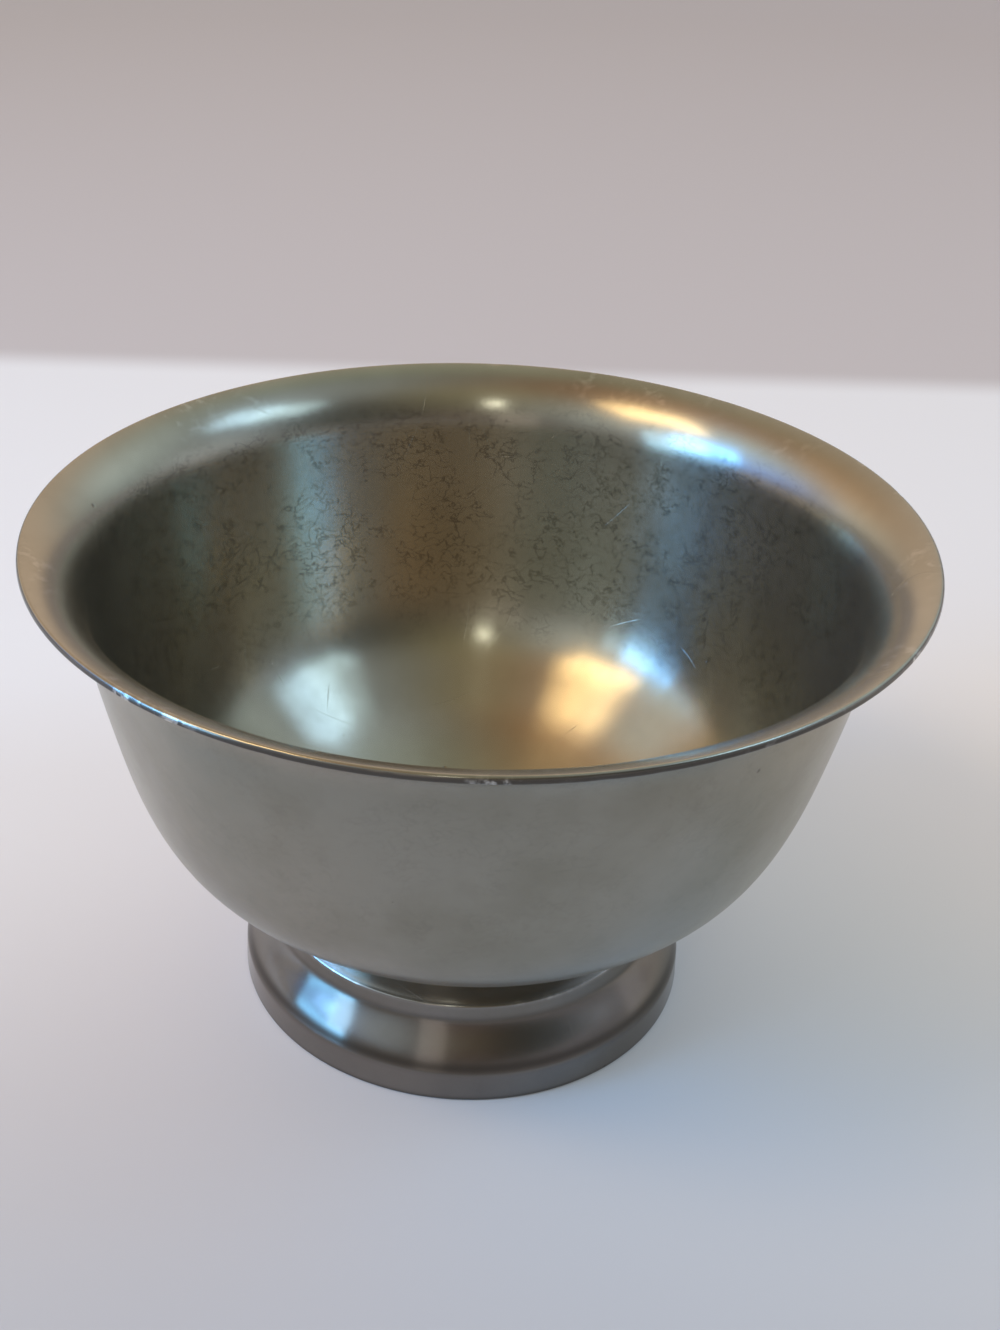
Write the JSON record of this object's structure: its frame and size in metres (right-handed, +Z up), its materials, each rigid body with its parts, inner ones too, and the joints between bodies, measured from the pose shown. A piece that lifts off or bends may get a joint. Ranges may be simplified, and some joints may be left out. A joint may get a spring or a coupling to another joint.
{
  "type": "footed bowl",
  "caption": "Small spun pewter serving bowl with a flared lip, raised on a hollow, stepped round foot.",
  "frame": {"origin": "on the table, under the middle of the foot", "axes": "+Z up along the bowl's axis, which is its axis of symmetry; +X and +Y are any two directions square to it"},
  "size_m": [0.127, 0.127, 0.077],
  "materials": {
    "bowl_pewter": "satin pewter, worn, with fine scratches and a grey-brown patina",
    "foot_pewter": "pewter, brighter than the bowl, lathe-polished and lightly worn",
    "solder": "dull tin solder"
  },
  "bodies": {
    "root": {"bowl": "bowl_pewter", "foot": "foot_pewter", "solder_seam": "solder"}
  },
  "joints": []
}
